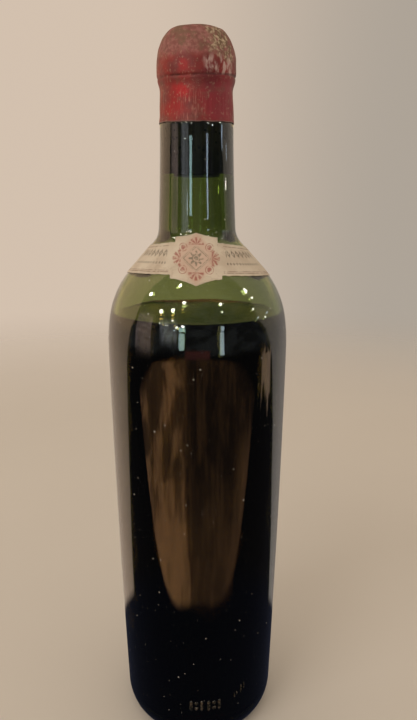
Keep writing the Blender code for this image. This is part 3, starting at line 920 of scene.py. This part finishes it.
def worn_marks():
    """Dark green glass whose tops are scuffed and hold pale dirt."""
    made, shader, place = surface("worn_mould_marks")
    scuffs = noise(place, 900.0, 3.0)
    worn = both(eased_mask(scuffs, 0.44, 0.62), 0.75)
    fill(shader, Base_Color=tinted(worn, (0.012, 0.013, 0.008), (0.085, 0.065, 0.045)))
    fill(shader, Roughness=scaled(worn, 0.45, 0.16))
    fill(shader, Normal=bump(scuffs, 0.00006, 0.5))
    return made


heel_marks = skin("heel_marks", mark_points(MARKS))
heel_marks.data.materials.append(worn_marks())
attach(heel_marks, "root")


# Years in a cellar have left dust on the glass. Most of it is a film, and here are the single
# grains: flat pale flakes that lie on the shoulder, the neck and all round the body.
GRAIN_COUNT = 620
GRAIN_SEED = 21
GRAIN_SIZES = (0.00006, 0.00032)
GRAIN_HEIGHTS = (0.014, 0.262)
GRAIN_SINK = 0.00003
SLOPE_STEP = 0.0002
GRAIN_LIFTS = np.array([-0.00004, 0.0, 0.00003, 0.00004])


def grain_points():
    """Flat six-sided flakes: a ring of radius s about a random place on the glass, in the plane
    square to its normal n, with a low point under it and another above it, along n."""
    draw = np.random.default_rng(GRAIN_SEED)
    height = draw.uniform(*GRAIN_HEIGHTS, GRAIN_COUNT)
    angle = draw.uniform(0.0, math.tau, GRAIN_COUNT)
    size = GRAIN_SIZES[0] + (GRAIN_SIZES[1] - GRAIN_SIZES[0]) * draw.uniform(0.0, 1.0, GRAIN_COUNT) ** 3
    radius = outer_radius(height)
    widening = outer_radius(height + SLOPE_STEP) - outer_radius(height - SLOPE_STEP)
    slope = widening / (2.0 * SLOPE_STEP)
    lean = 1.0 / np.hypot(1.0, slope)
    out = np.column_stack([np.sin(angle) * lean, -np.cos(angle) * lean, -slope * lean])
    along = np.column_stack([np.cos(angle), np.sin(angle), np.zeros(GRAIN_COUNT)])
    upward = np.cross(out, along)
    middle = round_points(angle, radius, height) - GRAIN_SINK * out
    turn = math.tau * np.arange(6) / 6.0
    ring = np.array([0.0, 1.0, 0.75, 0.0])[None, :, None, None] * size[:, None, None, None]
    lift = GRAIN_LIFTS[None, :, None, None]
    uneven = draw.uniform(0.7, 1.3, (GRAIN_COUNT, 1, 6, 1))
    flat = along[:, None, None] * np.cos(turn)[:, None] + upward[:, None, None] * np.sin(turn)[:, None]
    return middle[:, None, None] + uneven * ring * flat + lift * out[:, None, None]


def dust_grain():
    """Pale grey-brown dust, matt, lighter and darker from grain to grain."""
    made, shader, place = surface("dust_grain")
    shade = noise(place, 300.0, 2.0)
    fill(shader, Base_Color=tinted(shade, (0.30, 0.28, 0.25), (0.85, 0.80, 0.73)))
    fill(shader, Roughness=scaled(shade, 0.2, 0.75))
    return made


dust = skin("dust_grains", grain_points())
dust.data.materials.append(dust_grain())
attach(dust, "root")


# The studio is a round pale floor that fades out into a warm backdrop, so that no edge shows
# from any side. Glossy surfaces see a dim room instead: bright walls behind and beside the
# bottle, and a low warm brown front that ends at the near edge of a dark table.
FLOOR_RADIUS = 1.4
FLOOR_DROP = 0.00002
FLOOR_FADE_START = 0.35
FLOOR_FADE_END = 1.25
FLOOR_COLOUR = (0.76, 0.715, 0.665)
FLOOR_MOTTLE = (0.72, 0.675, 0.625)
BACKDROP_LEFT = (0.650, 0.530, 0.425)
BACKDROP_RIGHT = (0.420, 0.368, 0.310)
AMBIENT = (0.62, 0.52, 0.41)
WALL_NEAR_LEFT = (1.12, 0.83, 0.62)
WALL_HIGH_LEFT = (1.50, 1.08, 0.72)
WALL_FAR_LEFT = (0.52, 0.42, 0.33)
WALL_NEAR_RIGHT = (0.66, 0.59, 0.54)
WALL_HIGH_RIGHT = (0.80, 0.70, 0.59)
WALL_FAR_RIGHT = (0.25, 0.215, 0.18)
WALL_LIT = (1.05, 0.76, 0.38)
WALL_LIT_DIM = (0.42, 0.38, 0.25)
ROOM_UPPER = (0.15, 0.16, 0.18)
ROOM_DOOR = (1.80, 1.36, 1.22)
ROOM_SIDE = (1.70, 1.78, 1.90)
ROOM_DARK = (0.030, 0.028, 0.032)
ROOM_TABLE = (0.026, 0.028, 0.044)
ROOM_BROWN = (1.52, 0.78, 0.37)
ROOM_BROWN_DIM = (0.10, 0.065, 0.055)
ROOM_MAROON = (0.42, 0.15, 0.15)
ROOM_BEIGE = (1.25, 0.86, 0.58)


def floor_disc():
    """Rings of radius R * t ** 2 about the axis, flat at z = 0."""
    t = np.linspace(0.0, 1.0, 24)[:, None]
    points = round_points(-angles_round(96), FLOOR_RADIUS * t**2, 0.0 * t - FLOOR_DROP)
    return skin("studio_floor", points)


def pale_floor():
    """Matt pale floor with a faint mottle, clear beyond its fade so that the backdrop shows."""
    made, shader, place = surface("pale_floor")
    mottle = noise(place, 6.0, 5.0)
    fill(shader, Base_Color=tinted(mottle, FLOOR_COLOUR, FLOOR_MOTTLE))
    fill(shader, Roughness=0.9)
    far = node(place, "VectorMath", {"operation": "LENGTH"}, Vector=place).outputs["Value"]
    solid = eased_mask(far, FLOOR_FADE_END, FLOOR_FADE_START)
    mirrored = maths("GREATER_THAN", node(place, "LightPath").outputs["Glossy Depth"], 0.5)
    fill(shader, Alpha=both(solid, maths("SUBTRACT", 1.0, mirrored)))
    return made


def between(value, low, high, edge):
    """A mask of 1 where value is between low and high, with soft edges outside of both."""
    return both(eased_mask(value, low - edge, low), eased_mask(value, high + edge, high))


def upright_streaks(azimuth, height, width, tall, low, high):
    """A noise mask of streaks about width degrees wide and tall degrees high."""
    across = maths("DIVIDE", azimuth, width)
    upward = maths("DIVIDE", height, tall)
    place = node(across, "CombineXYZ", X=across, Y=upward, Z=0.37).outputs[0]
    return eased_mask(noise(place, 1.0, 5.0), low, high)


def walls_beside(azimuth, leftward, height):
    """The walls at both sides: how much of each shows, and its colour, by angles in degrees. The
    left one starts at 90 - 0.55 * height, the right one at 93 - 1.05 * height."""
    level = node(height, "Clamp", Value=height, Min=-40.0, Max=10.0).outputs[0]
    upper = eased_mask(height, -6.0, 2.0)
    lit_wall = tinted(upright_streaks(azimuth, height, 11.0, 9.0, 0.38, 0.62), WALL_LIT_DIM, WALL_LIT)
    highest = eased_mask(height, 6.0, 10.0)
    left_near = tinted(upper, WALL_NEAR_LEFT, WALL_HIGH_LEFT)
    left_far = tinted(highest, tinted(upper, WALL_FAR_LEFT, BACKDROP_LEFT), lit_wall)
    left_wall = tinted(eased_mask(leftward, 110.0, 172.0), left_near, left_far)
    right_near = tinted(upper, WALL_NEAR_RIGHT, WALL_HIGH_RIGHT)
    right_far = tinted(highest, tinted(upper, WALL_FAR_RIGHT, BACKDROP_RIGHT), lit_wall)
    right_wall = tinted(eased_mask(azimuth, 115.0, 172.0), right_near, right_far)
    left_off = scaled(level, 0.55, leftward)
    right_off = scaled(level, 1.05, azimuth)
    over_table = eased_mask(height, -37.2, -36.0)
    on_left = both(eased_mask(left_off, 90.0, 93.0), over_table)
    on_right = both(eased_mask(right_off, 93.0, 97.0), over_table)
    return on_left, left_wall, on_right, right_wall


def dim_room(azimuth, leftward, height):
    """What the glass mirrors in front: a dark room, lit doors at the left, and a brown front
    below, from -40 * (1 - (azimuth / 89) ** 4.6) up to -10.5 - 10 * (azimuth / 89) ** 2."""
    mottled = upright_streaks(azimuth, height, 14.0, 5.5, 0.43, 0.57)
    fine = upright_streaks(azimuth, height, 3.6, 9.0, 0.36, 0.64)

    upper = eased_mask(height, -11.0, -6.0)
    dark = tinted(eased_mask(height, -34.0, -38.0), ROOM_DARK, ROOM_TABLE)
    room = tinted(both(upper, scaled(mottled, 0.7, 0.3)), dark, ROOM_UPPER)
    under_lintel = both(eased_mask(height, -14.0, 3.0), eased_mask(height, 22.0, 13.0))
    broken = both(under_lintel, scaled(mottled, 0.45, 0.55))
    room = tinted(both(between(leftward, 60.0, 81.0, 3.0), broken), room, ROOM_DOOR)
    side_door = both(between(leftward, 27.0, 44.0, 4.0), eased_mask(height, -6.0, 3.0))
    half_lit = scaled(fine, 0.60, 0.40)
    room = tinted(both(side_door, under_lintel, half_lit), room, ROOM_SIDE)
    hanging = both(between(azimuth, -13.0, 15.0, 1.5), between(height, -11.5, -6.5, 1.0))
    room = tinted(hanging, room, ROOM_MAROON)

    off_middle = maths("DIVIDE", maths("ABSOLUTE", azimuth), 89.0)
    low_edge = scaled(maths("POWER", off_middle, 4.6), 40.0, -40.0)
    high_edge = scaled(both(off_middle, off_middle), -10.0, -10.5)
    above = eased_mask(maths("SUBTRACT", height, low_edge), 0.0, 1.2)
    below = eased_mask(maths("SUBTRACT", high_edge, height), -1.0, 1.5)
    leftness = eased_mask(scaled(mottled, 9.0, azimuth), -4.0, -17.0)
    lowness = eased_mask(height, -25.0, -35.0)
    smooth_left = scaled(lowness, 0.72, 0.18)
    lit_left = scaled(mottled, 0.80, smooth_left)
    lit_left = both(lit_left, scaled(fine, 0.60, 0.65))
    right_rim = both(eased_mask(azimuth, 46.0, 70.0), eased_mask(height, -20.0, -26.0))
    lit_right = scaled(right_rim, 0.34, both(lowness, 0.13))
    lit_right = scaled(both(mottled, fine), 0.14, lit_right)
    brown = tinted(tinted_value(leftness, lit_right, lit_left), ROOM_BROWN_DIM, ROOM_BROWN)
    room = tinted(both(above, below), room, brown)
    ragged = scaled(fine, 3.3, height)
    patch = both(between(azimuth, 90.0, 105.0, 2.0), between(ragged, -16.2, -9.0, 1.2))
    return tinted(patch, room, ROOM_BEIGE)


def tinted_value(amount, under, over):
    """The value under, with the value over laid on it by a mask."""
    return scaled(amount, maths("SUBTRACT", over, under), under)


def studio_world():
    """Backdrop by azimuth for most rays. A ray that a glossy surface has turned sees the room."""
    world = bpy.data.worlds.new("studio")
    world.use_nodes = True
    tree = world.node_tree
    axes = node(tree, "SeparateXYZ", Vector=node(tree, "TexCoord").outputs["Generated"]).outputs
    turn = maths("ARCTAN2", axes["X"], both(axes["Y"], -1.0))
    azimuth = maths("DEGREES", turn)
    height = maths("DEGREES", maths("ARCSINE", axes["Z"]))
    leftward = both(azimuth, -1.0)

    backdrop = tinted(eased_mask(axes["X"], -0.12, 0.30), BACKDROP_LEFT, BACKDROP_RIGHT)
    room = dim_room(azimuth, leftward, height)
    on_left, left_wall, on_right, right_wall = walls_beside(azimuth, leftward, height)
    room = tinted(on_right, tinted(on_left, room, left_wall), right_wall)

    rays = node(tree, "LightPath").outputs
    unlit = tinted(rays["Is Diffuse Ray"], backdrop, AMBIENT)
    mirrored = maths("GREATER_THAN", rays["Glossy Depth"], 0.5)
    fill(tree.nodes["Background"], Color=tinted(mirrored, unlit, room))
    return world


floor = floor_disc()
floor.data.materials.append(pale_floor())
floor.visible_glossy = False
bpy.context.scene.world = studio_world()


# The light is soft, from a large panel above and to the left. Tall narrow windows give the
# upright streaks on the neck and body, small ceiling lamps the points of light on the shoulder,
# and golden lamps below them the warm doubles of these points.
LAMP_AIM_Z = 0.20
WINDOW_DISTANCE = 1.2
PANEL_PLACE = (-0.75, -0.85, 0.95)
PANEL_SIZE = (0.7, 0.7)
PANEL_RADIANCE = 2.6
PANEL_LIGHT = (1.0, 0.93, 0.84)
LEFT_LIGHT = (0.62, 0.95, 0.97)
LEFT_LOW_LIGHT = (0.66, 0.93, 0.93)
RIGHT_LIGHT = (0.70, 0.86, 1.06)
RIGHT_LOW_LIGHT = (0.72, 0.90, 0.98)
LAMP_RADIANCE = 42.0
LAMP_LIGHT = (1.0, 0.95, 0.82)
GOLDEN_RADIANCE = 13.0
GOLDEN_LIGHT = (1.0, 0.66, 0.13)


def towards(azimuth, elevation, distance):
    """The place at an azimuth from the front and an elevation in degrees, seen from the shoulder."""
    a = math.radians(azimuth)
    e = math.radians(elevation)
    out = distance * math.cos(e)
    return (out * math.sin(a), -out * math.cos(a), LAMP_AIM_Z + distance * math.sin(e))


def area_light(
    name, place, size, radiance, colour, aim=(0.0, 0.0, LAMP_AIM_Z), round_lamp=False, lights_matt=False
):
    """A flat light that faces aim, of a width and height, whose surface has this radiance. Only
    the soft panel lights matt surfaces too; the others are there to be mirrored."""
    data = bpy.data.lights.new(name, "AREA")
    data.shape = "ELLIPSE" if round_lamp else "RECTANGLE"
    data.size = size[0]
    data.size_y = size[1]
    data.color = colour
    area = size[0] * size[1] * (math.pi / 4 if round_lamp else 1.0)
    data.energy = radiance * area * math.pi
    made = bpy.data.objects.new(name, data)
    made.location = place
    away = np.array(place) - np.array(aim)
    turn = math.atan2(away[0], -away[1])
    lean = math.atan2(math.hypot(away[0], away[1]), away[2])
    made.rotation_euler = (lean, 0.0, turn)
    made.visible_camera = False
    made.visible_diffuse = lights_matt
    bpy.context.scene.collection.objects.link(made)
    return made


soft_panel = area_light(
    "soft_panel", PANEL_PLACE, PANEL_SIZE, PANEL_RADIANCE, PANEL_LIGHT, lights_matt=True
)
soft_panel.visible_glossy = False
soft_panel.visible_transmission = False


def window(name, azimuth, low, high, width, radiance, colour):
    """An upright light at an azimuth in degrees, between two heights, that faces the axis."""
    a = math.radians(azimuth)
    middle = (low + high) / 2.0
    place = (WINDOW_DISTANCE * math.sin(a), -WINDOW_DISTANCE * math.cos(a), middle)
    area_light(name, place, (width, high - low), radiance, colour, aim=(0.0, 0.0, middle))


window("left_window_high", -17.5, 0.319, 0.432, 0.16, 6.8, LEFT_LIGHT)
window("left_window_low", -18.0, 0.072, 0.290, 0.15, 6.0, LEFT_LOW_LIGHT)
window("left_window_slit", -28.0, 0.320, 0.354, 0.035, 9.0, RIGHT_LIGHT)
window("right_window_high", 32.5, 0.312, 0.431, 0.09, 6.6, RIGHT_LIGHT)
window("right_window_low", 31.5, 0.002, 0.285, 0.10, 6.0, RIGHT_LOW_LIGHT)
window("far_window", 84.5, 0.404, 0.433, 0.09, 5.8, RIGHT_LIGHT)
window("edge_window", 104.0, 0.383, 0.408, 0.07, 4.0, RIGHT_LIGHT)
LAMPS = (
    (-77.0, 37.0, 0.075, 0.075, 1.0),
    (-37.0, 59.0, 0.075, 0.075, 1.0),
    (-18.5, 38.8, 0.075, 0.075, 1.0),
    (36.0, 35.5, 0.075, 0.075, 1.0),
    (86.0, 37.0, 0.075, 0.090, 1.0),
    (-48.0, 25.3, 0.075, 0.075, 1.0),
    (-32.5, 29.0, 0.075, 0.075, 1.0),
    (-16.5, 12.4, 0.19, 0.16, 3.0),
    (-24.5, 11.0, 0.16, 0.14, 3.0),
    (-36.4, 11.4, 0.045, 0.003, 1.0),
    (50.7, 11.8, 0.040, 0.006, 1.0),
    (36.0, 26.5, 0.035, 0.035, 1.0),
    (88.0, 28.0, 0.035, 0.035, 1.0),
    (-46.0, 12.9, 0.06, 0.014, 1.0),
    (-30.7, 17.5, 0.05, 0.030, 1.0),
    (80.9, 19.4, 0.040, 0.030, 1.0),
    (98.9, 7.2, 0.050, 0.020, 1.0),
)
GOLDEN_LAMPS = (
    (-47.0, 21.2, 0.055, 0.030, 1.0),
    (-46.0, 17.2, 0.050, 0.026, 1.0),
    (-31.6, 23.6, 0.060, 0.030, 1.0),
    (-31.2, 19.6, 0.055, 0.026, 1.0),
    (-19.0, 31.4, 0.060, 0.030, 1.0),
)


def hang(name, lamps, radiance, colour):
    """Round lamps, each at an azimuth and elevation, with its width, height and distance."""
    for azimuth, elevation, width, height, away in lamps:
        place = towards(azimuth, elevation, away)
        area_light(name, place, (width, height), radiance, colour, round_lamp=True)


hang("ceiling_lamp", LAMPS, LAMP_RADIANCE, LAMP_LIGHT)
hang("golden_lamp", GOLDEN_LAMPS, GOLDEN_RADIANCE, GOLDEN_LIGHT)


# The camera stands close in front of the bottle, at the height of its neck, and looks down a
# little with a short lens.
CAMERA_PLACE = (0.0048, -0.2585, 0.2380)
CAMERA_DOWN = math.radians(14.2)
CAMERA_LENS = 30.0

camera_data = bpy.data.cameras.new("camera")
camera_data.lens = CAMERA_LENS
camera_data.clip_start = 0.01
camera = bpy.data.objects.new("camera", camera_data)
camera.location = CAMERA_PLACE
camera.rotation_euler = (math.pi / 2 - CAMERA_DOWN, 0.0, 0.0)
scene = bpy.context.scene
scene.collection.objects.link(camera)
scene.camera = camera
scene.view_settings.view_transform = "Standard"
scene.cycles.max_bounces = 24
scene.cycles.transmission_bounces = 20
scene.cycles.transparent_max_bounces = 16
